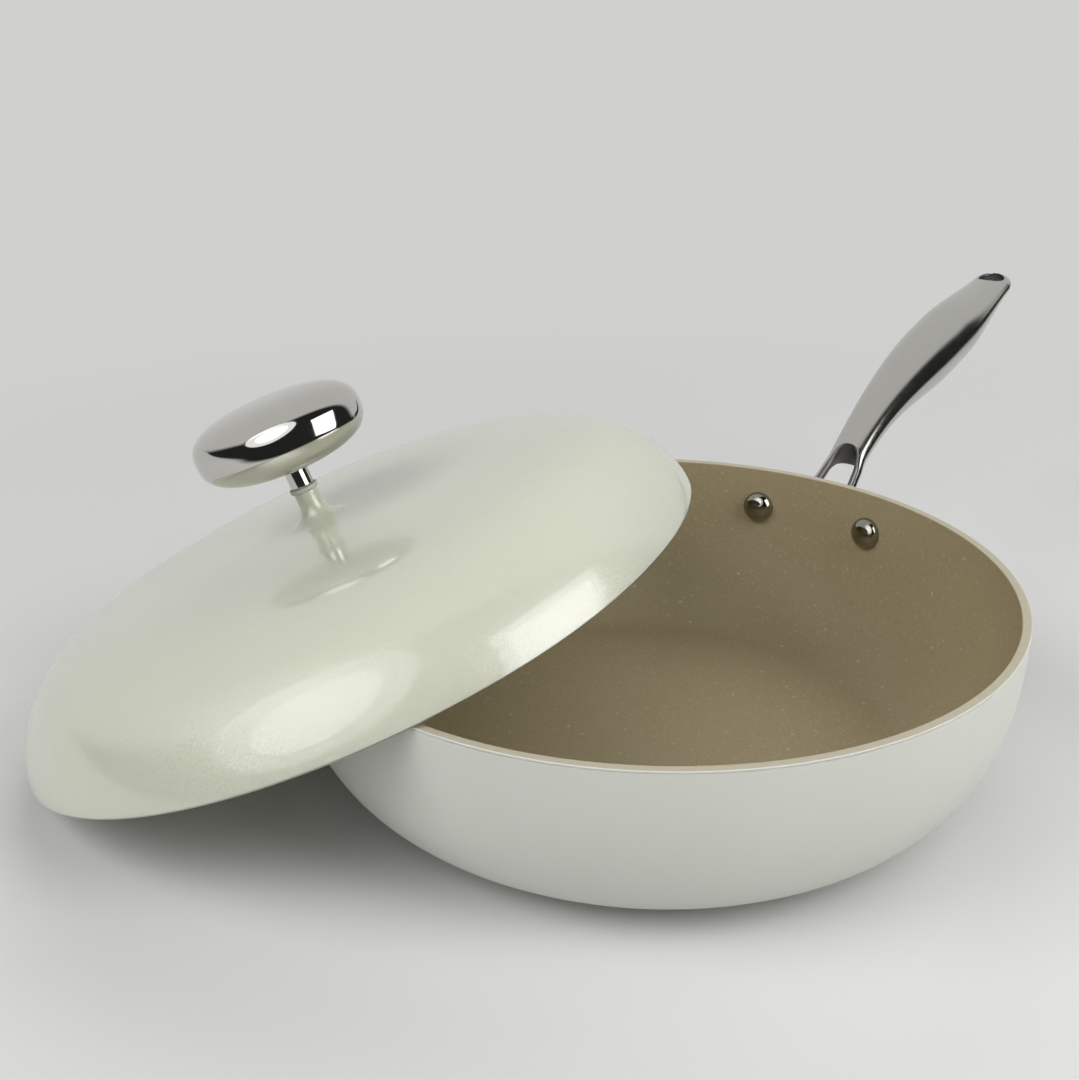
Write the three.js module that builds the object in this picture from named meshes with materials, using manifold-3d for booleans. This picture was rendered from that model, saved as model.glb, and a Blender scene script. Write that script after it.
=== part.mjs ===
// Frying pan with a lid that leans on its rim
// Millimetres, +Z up. The origin is the middle of the pan's base, on the table.
// The handle points along +X.

import * as THREE from 'three';
import { mergeVertices } from 'three/addons/utils/BufferGeometryUtils.js';
import Module from 'manifold-3d';

const wasm = await Module();
wasm.setup();

// Clearances
const SEAT_GAP = 0.3;
const LID_REST_GAP = 0.4;
const TABLE_GAP = 0.2;

// Pan body: outside, a quarter superellipse from the flat base to the upright rim
const PAN_HEIGHT = 76.4;
const PAN_RADIUS = 140;
const BASE_RADIUS = 82;
const WALL_POWER = 2.5;
const RIM_WIDTH = 3.5;
const BASE_THICKNESS = 5.5;
const LINING_THICKNESS = 0.7;
const RIM_EASING = 0.5;

// Induction plate: a perforated disc let into the base
const PLATE_RADIUS = 76;
const PLATE_THICKNESS = 1.4;
const PLATE_STAND = 0.5;
const PLATE_HOLE_RADIUS = 2.6;
const PLATE_RING_PITCH = 17;
const PLATE_RING_COUNT = 3;
const PLATE_HOLE_PITCH = 17;

// Rivets
const RIVET_DROP = 18.5;
const RIVET_SPACING = 56.5;
const RIVET_SHANK_RADIUS = 2.5;
const RIVET_HEAD_RADIUS = 7;
const RIVET_HEAD_HEIGHT = 4.2;
const RIVET_TAIL_RADIUS = 5;
const RIVET_TAIL_HEIGHT = 1.6;

// Handle: a flange on the wall, two legs, a grip with a hanging slot
const FLANGE_THICKNESS = 2.8;
const FLANGE_HALF_HEIGHT = 10.5;
const LEG_FOOT_SPACING = 20;
const LEG_HALF_WIDTH = 2.1;
const LEG_HALF_DEPTH = 2.3;
const LEG_LEAD = 13;
const GRIP_OFFSET = 24;
const GRIP_LIFT = 0.6;
const GRIP_LENGTH = 172.4;
const GRIP_RISE = 58.6;
const FORK_ANGLE = 39.2;
const TIP_ANGLE = 14.9;
const FORK_LEAD = 39.3;
const TIP_LEAD = 110.4;
const FORK_HALF_WIDTH = 8.9;
const FORK_HALF_DEPTH = 5;
const GRIP_HALF_WIDTH = 15;
const GRIP_HALF_DEPTH = 11.4;
const TIP_HALF_WIDTH = 10;
const TIP_HALF_DEPTH = 5.4;
const GRIP_SECTION_POWER = 2.3;
const GRIP_FULL_PLACE = 0.55;
const GRIP_TAPER_PLACE = 0.62;
const TIP_BLUNTNESS = 0.3;
const FORK_SLOT_DEPTH = 2;
const HANG_SLOT_HALF_LENGTH = 7;
const HANG_SLOT_HALF_WIDTH = 6.2;
const HANG_SLOT_MARGIN = 2;

// Lid: a gently crowned dome with round shoulders and a drawn neck
const LID_OVERHANG = 1.9;
const LID_WALL = 1.5;
const LID_SHOULDER_HEIGHT = 37.2;
const LID_CROWN = 4;
const LID_SHOULDER_POWER = 8;
const LID_EDGE_POWER = 1.4;
const NECK_HEIGHT = 13;
const NECK_TOP_RADIUS = 4.8;
const NECK_FLARE_REACH = 12;
const NECK_FLARE_RISE = 11;

// Lean: where the lid's edge crosses the rim, and which way it leans
const LEAN_AZIMUTH = 117.8;
const RIM_CONTACT_ANGLE = 64.5;

// Knob and its fastening
const GASKET_RADIUS = 5.7;
const GASKET_THICKNESS = 1.4;
const STEM_RADIUS = 4.75;
const STEM_SHOWN = 8.2;
const KNOB_HALF_LENGTH = 36.6;
const KNOB_HALF_WIDTH = 31;
const KNOB_HALF_DEPTH = 14.5;
const KNOB_POWER = 2.7;
const KNOB_TURN = -15;
const KNOB_SOCKET_DEPTH = 2;
const SCREW_RADIUS = 2.5;
const SCREW_GRIP = 11;
const SCREW_HEAD_RADIUS = 4.8;
const SCREW_HEAD_HEIGHT = 3.2;
const WASHER_RADIUS = 20.5;
const WASHER_THICKNESS = 1.2;

// Facets
const AROUND = 48;
const WALL_STEPS = 10;
const LID_STEPS = 11;
const NECK_STEPS = 4;
const ROUND_SIDES = 16;
const SMALL_STEPS = 4;
const GRIP_STEPS = 22;
const GRIP_SIDES = 18;
const LEG_STEPS = 8;
const LEG_SIDES = 10;
const KNOB_SIDES = 32;
const KNOB_STEPS = 12;
const WELD = 1e-4;

// Derived sizes
const screwHoleRadius = SCREW_RADIUS + SEAT_GAP;
const rivetHoleRadius = RIVET_SHANK_RADIUS + SEAT_GAP;
const rivetHeight = PAN_HEIGHT - RIVET_DROP;
const rimInnerRadius = PAN_RADIUS - RIM_WIDTH;
const liningSeat = LINING_THICKNESS + SEAT_GAP;
const lidRadius = PAN_RADIUS + LID_OVERHANG;
const legTop = FORK_HALF_WIDTH - LEG_HALF_WIDTH;
const forkSlotHalfWidth = legTop - LEG_HALF_WIDTH;
const radians = THREE.MathUtils.degToRad;
const quarter = Math.PI / 2;

// Geometry helpers

// A flat point in a turned profile: distance from the axis, then height
const at = (radius, height) => new THREE.Vector2(radius, height);

// Evenly spaced shares of the way from 0 to 1
const shares = (steps) => Array.from({ length: steps + 1 }, (_, index) => index / steps);

// A power of a number that keeps its sign
const signedPower = (value, power) => Math.sign(value) * Math.abs(value) ** power;

// A smooth rise from 0 to 1 between two shares of the way
const rise = (share, start, end) => THREE.MathUtils.smoothstep(share, start, end);

// One closed skin: corners welded, collapsed faces dropped, faces turned outwards
function closedSkin(geometry) {
  const bare = new THREE.BufferGeometry();
  bare.setAttribute('position', geometry.getAttribute('position'));
  bare.setIndex(geometry.getIndex());
  const skin = mergeVertices(bare, WELD);
  const corners = skin.getAttribute('position');
  const index = skin.getIndex().array;
  const faces = [];
  const [a, b, c] = [new THREE.Vector3(), new THREE.Vector3(), new THREE.Vector3()];
  let volume = 0;
  for (let start = 0; start < index.length; start += 3) {
    const [i, j, k] = index.slice(start, start + 3);
    if (i === j || j === k || k === i) continue;
    faces.push([i, j, k]);
    a.fromBufferAttribute(corners, i);
    b.fromBufferAttribute(corners, j);
    c.fromBufferAttribute(corners, k);
    volume += a.dot(b.cross(c));
  }
  skin.setIndex(faces.flatMap(([i, j, k]) => (volume < 0 ? [i, k, j] : [i, j, k])));
  return skin;
}

function toSolid(geometry) {
  const skin = closedSkin(geometry);
  return new wasm.Manifold(new wasm.Mesh({
    numProp: 3,
    vertProperties: new Float32Array(skin.getAttribute('position').array),
    triVerts: new Uint32Array(skin.getIndex().array),
  }));
}

function fromSolid(solid) {
  const mesh = solid.getMesh();
  const geometry = new THREE.BufferGeometry();
  geometry.setAttribute('position', new THREE.BufferAttribute(mesh.vertProperties, 3));
  geometry.setIndex(new THREE.BufferAttribute(mesh.triVerts, 1));
  return geometry;
}

// A profile of flat points turned round the Z axis
function revolve(profile, sides = AROUND) {
  return new THREE.LatheGeometry(profile, sides).rotateX(quarter);
}

// A point moved sideways off a flat curve, to the right of its direction of travel
function offsetPoint(curve, share, distance) {
  const reach = 1e-3;
  const before = curve(Math.max(share - reach, 0));
  const after = curve(Math.min(share + reach, 1));
  const along = after.sub(before).normalize();
  return curve(share).add(at(along.y, -along.x).multiplyScalar(distance));
}

// A straight bar along Z, from one height to another
function bar(radius, low, high, sides = ROUND_SIDES) {
  const geometry = new THREE.CylinderGeometry(radius, radius, high - low, sides);
  return geometry.rotateX(quarter).translate(0, 0, (low + high) / 2);
}

// A ring along Z with a plain bore
function ring(bore, radius, low, high, sides = ROUND_SIDES) {
  const profile = [at(bore, low), at(radius, low), at(radius, high), at(bore, high), at(bore, low)];
  return revolve(profile, sides);
}

// Rings of points joined into one closed skin, with a fan at each end
function loft(rings) {
  const sides = rings[0].length;
  const points = rings.flat();
  const index = [];
  for (let row = 0; row + 1 < rings.length; row += 1) {
    for (let side = 0; side < sides; side += 1) {
      const next = (side + 1) % sides;
      const [a, b] = [row * sides + side, row * sides + next];
      index.push(a, b, b + sides, a, b + sides, a + sides);
    }
  }
  const last = (rings.length - 1) * sides;
  for (let side = 1; side + 1 < sides; side += 1) {
    index.push(0, side + 1, side, last, last + side, last + side + 1);
  }
  const geometry = new THREE.BufferGeometry().setFromPoints(points);
  geometry.setIndex(index);
  return geometry;
}

// An oval section carried along a curve, upright and with its width near the Y axis
function sweep(curve, places, sides, sizeAt, power) {
  const rings = places.map((place) => {
    const along = curve.getTangentAt(place);
    const side = new THREE.Vector3(0, 1, 0).addScaledVector(along, -along.y).normalize();
    const up = new THREE.Vector3().crossVectors(along, side).negate();
    const [halfWidth, halfDepth] = sizeAt(place);
    return shares(sides).slice(0, -1).map((share) => {
      const turn = 2 * Math.PI * share;
      return curve.getPointAt(place)
        .addScaledVector(side, halfWidth * signedPower(Math.cos(turn), 2 / power))
        .addScaledVector(up, halfDepth * signedPower(Math.sin(turn), 2 / power));
    });
  });
  return loft(rings);
}

// Pan wall: its outside is flat at the base and upright at the rim, and its inside keeps the rim's
// width from it, from the edge of a flat floor up

function outerWall(share) {
  return at(
    BASE_RADIUS + (PAN_RADIUS - BASE_RADIUS) * Math.sin(quarter * share) ** (2 / WALL_POWER),
    PAN_HEIGHT - (PAN_HEIGHT - PLATE_STAND) * Math.max(Math.cos(quarter * share), 0) ** (2 / WALL_POWER),
  );
}

// Share of the way up the wall at which its outside reaches a height
function outerShareAt(height) {
  const left = (PAN_HEIGHT - height) / (PAN_HEIGHT - PLATE_STAND);
  return Math.acos(left ** (WALL_POWER / 2)) / quarter;
}

// Share of the way up the wall at which its inside leaves the floor, found by halving
function floorEdgeShare() {
  let [low, high] = [0, 1];
  while (high - low > 1e-9) {
    const middle = (low + high) / 2;
    const isUnderFloor = offsetPoint(outerWall, middle, -RIM_WIDTH).y < PLATE_STAND + BASE_THICKNESS;
    [low, high] = isUnderFloor ? [middle, high] : [low, middle];
  }
  return low;
}

// Points up the wall from a share of the way, moved outwards by a distance, stopped below a height
function wallPoints(start, distance, top) {
  return shares(WALL_STEPS).map((share) => {
    const point = offsetPoint(outerWall, THREE.MathUtils.lerp(start, 1, share), distance);
    return at(point.x, Math.min(point.y, top));
  });
}

// Points up the wall's inside, moved into the wall by a distance
const insidePoints = (distance, top) => wallPoints(floorEdgeShare(), distance - RIM_WIDTH, top);

function panBody() {
  const top = PAN_HEIGHT - liningSeat;
  const recessRadius = PLATE_RADIUS + SEAT_GAP;
  const recessTop = PLATE_THICKNESS + SEAT_GAP;
  const outside = wallPoints(0, 0, top);
  const inside = insidePoints(liningSeat, top).reverse();
  return revolve([
    at(0, recessTop),
    at(recessRadius, recessTop),
    at(recessRadius, PLATE_STAND),
    ...outside,
    ...inside,
    at(0, inside.at(-1).y),
  ]);
}

function ceramicLining() {
  const inside = insidePoints(0, PAN_HEIGHT - RIM_EASING);
  const back = insidePoints(LINING_THICKNESS, PAN_HEIGHT - LINING_THICKNESS).reverse();
  return revolve([
    at(0, inside[0].y),
    ...inside,
    at(rimInnerRadius + RIM_EASING, PAN_HEIGHT),
    at(PAN_RADIUS - RIM_EASING, PAN_HEIGHT),
    at(PAN_RADIUS, PAN_HEIGHT - RIM_EASING),
    at(PAN_RADIUS, PAN_HEIGHT - LINING_THICKNESS),
    ...back,
    at(0, back.at(-1).y),
  ]);
}

// Induction plate with rings of round perforations

function inductionPlate() {
  const rim = shares(AROUND).slice(0, -1).map((share) => {
    const turn = 2 * Math.PI * share;
    return new THREE.Vector2(Math.cos(turn), Math.sin(turn)).multiplyScalar(PLATE_RADIUS);
  });
  const outline = new THREE.Shape(rim);
  for (let row = 1; row <= PLATE_RING_COUNT; row += 1) {
    const ringRadius = row * PLATE_RING_PITCH;
    const count = Math.round(2 * Math.PI * ringRadius / PLATE_HOLE_PITCH);
    for (let hole = 0; hole < count; hole += 1) {
      const turn = 2 * Math.PI * hole / count;
      const [x, y] = [ringRadius * Math.cos(turn), ringRadius * Math.sin(turn)];
      outline.holes.push(new THREE.Path().absarc(x, y, PLATE_HOLE_RADIUS, 0, 2 * Math.PI));
    }
  }
  return new THREE.ExtrudeGeometry(outline, {
    depth: PLATE_THICKNESS,
    bevelEnabled: false,
    curveSegments: SMALL_STEPS,
  });
}

// Rivets stand square to the wall, one each side of the handle

const wallShareAtRivet = outerShareAt(rivetHeight);
const wallAtRivet = outerWall(wallShareAtRivet);
const liningAtRivet = offsetPoint(outerWall, wallShareAtRivet, -RIM_WIDTH);
const rivetAzimuth = Math.asin(RIVET_SPACING / 2 / wallAtRivet.x);
const wallNormalAtRivet = offsetPoint(outerWall, wallShareAtRivet, 1).sub(wallAtRivet);
const rivetTilt = Math.atan2(wallNormalAtRivet.y, wallNormalAtRivet.x);

// Turns a piece made along Z, with its zero on the wall's outer face, into a rivet's place
function atRivet(geometry, side) {
  return geometry
    .rotateY(quarter - rivetTilt)
    .translate(wallAtRivet.x, 0, rivetHeight)
    .rotateZ(side * rivetAzimuth);
}

// How far a face bends away under a flat round head, with the facets' own chord
function sagUnder(headRadius, faceRadius) {
  return headRadius ** 2 / faceRadius + faceRadius * (1 - Math.cos(Math.PI / AROUND));
}

function rivet(side) {
  const headSeat = -RIM_WIDTH - SEAT_GAP - sagUnder(RIVET_HEAD_RADIUS, liningAtRivet.x);
  const tailSeat = SEAT_GAP + FLANGE_THICKNESS + SEAT_GAP;
  const dome = shares(SMALL_STEPS).map((share) => at(
    RIVET_HEAD_RADIUS * Math.sin(quarter * share),
    headSeat - RIVET_HEAD_HEIGHT * Math.cos(quarter * share),
  ));
  const tail = shares(SMALL_STEPS).map((share) => at(
    RIVET_TAIL_RADIUS * Math.cos(quarter * share),
    tailSeat + RIVET_TAIL_HEIGHT * Math.sin(quarter * share),
  ));
  const profile = [
    ...dome,
    at(RIVET_SHANK_RADIUS, headSeat),
    at(RIVET_SHANK_RADIUS, tailSeat),
    ...tail,
  ];
  return atRivet(revolve(profile, ROUND_SIDES), side);
}

// Clears the rivets' way through a piece of the wall
function drilled(geometry) {
  const reach = RIVET_HEAD_RADIUS + FLANGE_THICKNESS;
  let solid = toSolid(geometry);
  for (const side of [-1, 1]) {
    solid = solid.subtract(toSolid(atRivet(bar(rivetHoleRadius, -reach, reach), side)));
  }
  return fromSolid(solid);
}

// Handle

const gripStart = new THREE.Vector3(PAN_RADIUS + GRIP_OFFSET, 0, PAN_HEIGHT + GRIP_LIFT);
const gripEnd = new THREE.Vector3(GRIP_LENGTH, 0, GRIP_RISE).add(gripStart);
const slope = (angle) => new THREE.Vector3(Math.cos(radians(angle)), 0, Math.sin(radians(angle)));
const gripSpine = new THREE.CubicBezierCurve3(
  gripStart,
  gripStart.clone().addScaledVector(slope(FORK_ANGLE), FORK_LEAD),
  gripEnd.clone().addScaledVector(slope(TIP_ANGLE), -TIP_LEAD),
  gripEnd,
);

// Half sizes of the grip: slim at the fork, full in the palm, slim again and round at the tip
function gripSize(place) {
  const mix = THREE.MathUtils.lerp;
  const palm = rise(place, 0, GRIP_FULL_PLACE);
  const tip = rise(place, GRIP_TAPER_PLACE, 1);
  const toTip = gripSpine.getLength() * (1 - place);
  const roundness = 1 - Math.min(toTip / TIP_HALF_WIDTH, 1);
  const end = mix(Math.sqrt(1 - roundness ** 2), 1, TIP_BLUNTNESS);
  return [
    mix(mix(FORK_HALF_WIDTH, GRIP_HALF_WIDTH, palm), TIP_HALF_WIDTH, tip) * end,
    mix(mix(FORK_HALF_DEPTH, GRIP_HALF_DEPTH, palm), TIP_HALF_DEPTH, tip) * end,
  ];
}

// A flat outline cut square through the grip at a distance along its spine
function throughGrip(shape, distance) {
  const place = distance / gripSpine.getLength();
  const along = gripSpine.getTangentAt(place);
  const depth = 4 * GRIP_HALF_DEPTH;
  const tool = new THREE.ExtrudeGeometry(shape, {
    depth,
    bevelEnabled: false,
    curveSegments: ROUND_SIDES / 2,
  });
  const point = gripSpine.getPointAt(place);
  tool.translate(0, 0, -depth / 2).rotateY(-Math.atan2(along.z, along.x));
  return tool.translate(point.x, point.y, point.z);
}

// Part of the wall's outside, as a turned skin between two distances from it
function wallBand(near, far) {
  const reach = FLANGE_HALF_HEIGHT + FLANGE_THICKNESS;
  const heights = shares(SMALL_STEPS).map((share) => rivetHeight + reach * (2 * share - 1));
  const face = (distance) => heights.map((height) => offsetPoint(outerWall, outerShareAt(height), distance));
  const outline = [...face(far), ...face(near).reverse()];
  return revolve([...outline, outline[0]]);
}

// The space that the wall takes, with its clearance
function wallKeepOut() {
  const face = wallPoints(0, SEAT_GAP, PAN_HEIGHT);
  return revolve([at(0, face[0].y), ...face, at(0, PAN_HEIGHT)]);
}

// The flange: a bar with round ends laid on the wall, round both rivets
function flange() {
  const halfSpan = RIVET_SPACING / 2;
  const shape = new THREE.Shape();
  shape.absarc(halfSpan, rivetHeight, FLANGE_HALF_HEIGHT, -quarter, quarter);
  shape.absarc(-halfSpan, rivetHeight, FLANGE_HALF_HEIGHT, quarter, 3 * quarter);
  const plate = new THREE.ExtrudeGeometry(shape, {
    depth: 2 * PAN_RADIUS,
    bevelEnabled: false,
    curveSegments: ROUND_SIDES / 2,
  });
  plate.rotateX(quarter).rotateZ(quarter);
  return toSolid(wallBand(SEAT_GAP, SEAT_GAP + FLANGE_THICKNESS)).intersect(toSolid(plate));
}

// One leg, from inside the grip down to the flange
function leg(side) {
  const top = gripSpine.getPointAt(LEG_LEAD / gripSpine.getLength());
  top.y = side * legTop;
  const footY = side * LEG_FOOT_SPACING / 2;
  const foot = new THREE.Vector3(Math.sqrt(wallAtRivet.x ** 2 - footY ** 2), footY, rivetHeight);
  const path = new THREE.CubicBezierCurve3(
    top,
    top.clone().addScaledVector(slope(FORK_ANGLE), -LEG_LEAD),
    foot.clone().addScaledVector(slope(FORK_ANGLE), LEG_LEAD),
    foot,
  );
  return sweep(path, shares(LEG_STEPS), LEG_SIDES, () => [LEG_HALF_WIDTH, LEG_HALF_DEPTH], 2);
}

function handle() {
  const places = shares(GRIP_STEPS).map((share) => rise(share, 0, 1));
  const forkSlot = new THREE.Shape();
  forkSlot.absarc(FORK_SLOT_DEPTH - forkSlotHalfWidth, 0, forkSlotHalfWidth, -quarter, quarter);
  forkSlot.lineTo(-GRIP_OFFSET, 2 * forkSlotHalfWidth);
  forkSlot.lineTo(-GRIP_OFFSET, -2 * forkSlotHalfWidth);
  const hangSlot = new THREE.Shape();
  hangSlot.absellipse(0, 0, HANG_SLOT_HALF_LENGTH, HANG_SLOT_HALF_WIDTH, 0, 2 * Math.PI);
  const hangPlace = gripSpine.getLength() - HANG_SLOT_HALF_LENGTH - HANG_SLOT_MARGIN;
  const solid = toSolid(sweep(gripSpine, places, GRIP_SIDES, gripSize, GRIP_SECTION_POWER))
    .subtract(toSolid(throughGrip(forkSlot, 0)))
    .subtract(toSolid(throughGrip(hangSlot, hangPlace)))
    .add(toSolid(leg(-1)))
    .add(toSolid(leg(1)))
    .subtract(toSolid(wallKeepOut()))
    .add(flange());
  return drilled(fromSolid(solid));
}

// Lid, made upright with its cut edge at height 0

// Height of the dome's outside over its edge, without the neck
function domeHeight(radius) {
  const share = radius / lidRadius;
  return LID_SHOULDER_HEIGHT * (1 - share ** LID_SHOULDER_POWER) ** (1 / LID_EDGE_POWER)
    + LID_CROWN * (1 - share ** 2);
}

const flareRadius = NECK_TOP_RADIUS + NECK_FLARE_REACH;
const crownHeight = domeHeight(flareRadius);
const neckTop = crownHeight + NECK_HEIGHT;

// The dome from the foot of the neck out to the edge, closely stepped round the shoulder
function domeCurve(share) {
  const power = 2 / LID_SHOULDER_POWER;
  const start = Math.asin((flareRadius / lidRadius) ** (1 / power));
  const radius = lidRadius * Math.sin(THREE.MathUtils.lerp(start, quarter, share)) ** power;
  return at(radius, domeHeight(Math.min(radius, lidRadius)));
}

// A quarter of an ellipse that sweeps up from the crown into the neck
function flarePoints(topRadius, foot, riseHeight) {
  return shares(NECK_STEPS).map((share) => at(
    topRadius + (foot.x - topRadius) * (1 - Math.sin(quarter * share)),
    foot.y + riseHeight * (1 - Math.cos(quarter * share)),
  ));
}

function lidShell() {
  const outside = shares(LID_STEPS).map(domeCurve);
  const inside = shares(LID_STEPS).map((share) => offsetPoint(domeCurve, share, -LID_WALL));
  const edge = at(lidRadius - LID_WALL, 0);
  inside[inside.length - 1] = edge;
  const outerFlare = flarePoints(NECK_TOP_RADIUS, outside[0], NECK_FLARE_RISE).slice(1).reverse();
  const innerFlare = flarePoints(screwHoleRadius, inside[0], NECK_FLARE_RISE).slice(1);
  const profile = [
    at(screwHoleRadius, neckTop),
    at(NECK_TOP_RADIUS, neckTop),
    ...outerFlare,
    ...outside,
    ...inside.reverse(),
    ...innerFlare,
  ];
  return revolve([...profile, profile[0]]);
}

// The stack on the lid's axis, from the washer up to the knob
const gasketLow = neckTop + SEAT_GAP;
const gasketHigh = gasketLow + GASKET_THICKNESS;
const stemLow = gasketHigh + SEAT_GAP;
const knobLow = stemLow + STEM_SHOWN;
const stemHigh = knobLow + KNOB_SOCKET_DEPTH - SEAT_GAP;
const knobMiddle = knobLow + KNOB_HALF_DEPTH;
const screwTop = stemHigh + SCREW_GRIP;
const washerHigh = domeHeight(WASHER_RADIUS) - LID_WALL - SEAT_GAP;
const washerLow = washerHigh - WASHER_THICKNESS;
const screwHeadHigh = washerLow - SEAT_GAP;

function knobPebble() {
  const rings = shares(KNOB_STEPS).map((share) => {
    const height = THREE.MathUtils.lerp(-quarter, quarter, share);
    const spread = Math.max(Math.cos(height), 0) ** (2 / KNOB_POWER);
    return shares(KNOB_SIDES).slice(0, -1).map((turn) => new THREE.Vector3(
      KNOB_HALF_LENGTH * spread * Math.cos(2 * Math.PI * turn),
      KNOB_HALF_WIDTH * spread * Math.sin(2 * Math.PI * turn),
      KNOB_HALF_DEPTH * signedPower(Math.sin(height), 2 / KNOB_POWER),
    ));
  });
  return loft(rings).rotateZ(radians(KNOB_TURN)).translate(0, 0, knobMiddle);
}

function knob() {
  const socket = bar(STEM_RADIUS + SEAT_GAP, knobLow - KNOB_SOCKET_DEPTH, knobLow + KNOB_SOCKET_DEPTH);
  const threadHole = bar(screwHoleRadius, knobLow, screwTop + SEAT_GAP);
  return fromSolid(toSolid(knobPebble()).subtract(toSolid(socket)).subtract(toSolid(threadHole)));
}

function knobScrew() {
  const head = shares(SMALL_STEPS).map((share) => at(
    SCREW_HEAD_RADIUS * Math.sin(quarter * share),
    screwHeadHigh - SCREW_HEAD_HEIGHT * Math.cos(quarter * share),
  ));
  return revolve([
    ...head,
    at(SCREW_RADIUS, screwHeadHigh),
    at(SCREW_RADIUS, screwTop),
    at(0, screwTop),
  ], ROUND_SIDES);
}

// The lean: the lid's inner edge rests on the rim's outer edge at two points, and its outer
// edge on the table at one

function leaningGroup() {
  const innerEdge = lidRadius - LID_WALL;
  const contactX = PAN_RADIUS * Math.cos(radians(RIM_CONTACT_ANGLE));
  const contactY = PAN_RADIUS * Math.sin(radians(RIM_CONTACT_ANGLE));
  const reach = Math.sqrt(innerEdge ** 2 - contactY ** 2);
  const tilt = Math.asin((PAN_HEIGHT + LID_REST_GAP - TABLE_GAP) / (lidRadius + reach));
  const lid = new THREE.Group();
  lid.position.set(contactX + reach * Math.cos(tilt), 0, lidRadius * Math.sin(tilt) + TABLE_GAP);
  lid.rotation.y = tilt;
  const turned = new THREE.Group();
  turned.rotation.z = radians(LEAN_AZIMUTH);
  turned.add(lid);
  return [turned, lid];
}

// Materials
const paint = (color, roughness, metalness) => ({ color, roughness, metalness });
const SATIN_WHITE = paint(0xe6e6df, 0.45, 0.0);
const BEIGE_CERAMIC = paint(0x8f8365, 0.6, 0.0);
const PEARL_CREAM = paint(0xdcdecb, 0.2, 0.0);
const POLISHED_STEEL = paint(0xc9c9c6, 0.12, 1.0);
const BRUSHED_STEEL = paint(0xb4b4b2, 0.4, 1.0);
const CLEAR_SILICONE = paint(0xb9bbae, 0.5, 0.0);

function add(group, name, geometry, look) {
  const mesh = new THREE.Mesh(closedSkin(geometry), new THREE.MeshStandardMaterial(look));
  mesh.name = name;
  group.add(mesh);
}

// The whole object
const pan = new THREE.Group();
add(pan, 'pan_body', drilled(panBody()), SATIN_WHITE);
add(pan, 'ceramic_lining', drilled(ceramicLining()), BEIGE_CERAMIC);
add(pan, 'induction_plate', inductionPlate(), BRUSHED_STEEL);
add(pan, 'handle', handle(), POLISHED_STEEL);
add(pan, 'rivet_left', rivet(1), POLISHED_STEEL);
add(pan, 'rivet_right', rivet(-1), POLISHED_STEEL);

const [leaning, lid] = leaningGroup();
add(lid, 'lid_shell', lidShell(), PEARL_CREAM);
add(lid, 'neck_gasket', ring(screwHoleRadius, GASKET_RADIUS, gasketLow, gasketHigh), CLEAR_SILICONE);
add(lid, 'knob_stem', ring(screwHoleRadius, STEM_RADIUS, stemLow, stemHigh), POLISHED_STEEL);
add(lid, 'knob', knob(), POLISHED_STEEL);
add(lid, 'knob_screw', knobScrew(), BRUSHED_STEEL);
add(lid, 'screw_washer', ring(screwHoleRadius, WASHER_RADIUS, washerLow, washerHigh, AROUND), BRUSHED_STEEL);

const fryingPan = new THREE.Group();
fryingPan.add(pan, leaning);

export default fryingPan;
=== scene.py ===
"""Dresses a deep frying pan with a forked steel handle, and the domed lid that leans on its rim."""

import bmesh
import bpy
import numpy as np
from mathutils import Euler, Matrix, Vector


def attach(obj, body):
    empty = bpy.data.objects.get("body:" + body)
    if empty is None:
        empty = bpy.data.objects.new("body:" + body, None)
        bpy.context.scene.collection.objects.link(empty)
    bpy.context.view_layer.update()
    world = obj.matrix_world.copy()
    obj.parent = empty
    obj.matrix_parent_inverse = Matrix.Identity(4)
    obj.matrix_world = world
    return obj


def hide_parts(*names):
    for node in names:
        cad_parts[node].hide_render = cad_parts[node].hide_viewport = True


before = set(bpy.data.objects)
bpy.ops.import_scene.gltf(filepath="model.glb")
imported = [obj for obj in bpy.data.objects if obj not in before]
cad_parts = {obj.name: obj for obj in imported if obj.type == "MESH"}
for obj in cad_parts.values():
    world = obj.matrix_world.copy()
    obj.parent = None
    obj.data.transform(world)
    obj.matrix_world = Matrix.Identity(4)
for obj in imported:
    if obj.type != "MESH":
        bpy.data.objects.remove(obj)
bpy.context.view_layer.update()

# Sizes in millimetres, the same as the solids have
MM = 0.001
QUARTER = np.pi / 2
SEAM = 0.1

PAN_HEIGHT = 76.4
PAN_RADIUS = 140.0
BASE_RADIUS = 82.0
BASE_LOW = 0.5
FLOOR_HIGH = 6.0
WALL_BEND = 0.8
RIM_WIDTH = 3.5
LIP_LOW = 75.7
BODY_TOP = 75.6
BODY_EDGE_WIDTH = 2.5
LINING_THICKNESS = 0.7
LINING_SEAT = 0.85

PLATE_RADIUS = 76.0
PLATE_THICKNESS = 1.4
PLATE_RECESS = (76.3, 1.7)
PLATE_RINGS = ((17.0, 6), (34.0, 13), (51.0, 19))
PLATE_HOLE_RADIUS = 2.6
PLATE_HOLE_DEPTH = 1.0

RIVET_HEIGHT = 57.9
RIVET_SPACING = 56.5
RIVET_HEAD = (7.0, 4.2)
RIVET_HEAD_BRIM = 1.0
RIVET_TAIL = (5.0, 1.6)
RIVET_TAIL_BRIM = 0.4
RIVET_SHANK = 2.5
RIVET_HEAD_SEAT = -4.45
RIVET_TAIL_SEAT = 3.3

FLANGE_THICKNESS = 3.1
FLANGE_HALF_HEIGHT = 10.5
LEG_FOOT = 10.0
LEG_TOP = 6.8
LEG_HALF_WIDTH = 2.1
LEG_HALF_DEPTH = 2.3
LEG_LEAD = 13.0
LEG_FLARE_SHARE = 0.9
LEG_FLARE_LENGTH = 7.0

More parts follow.
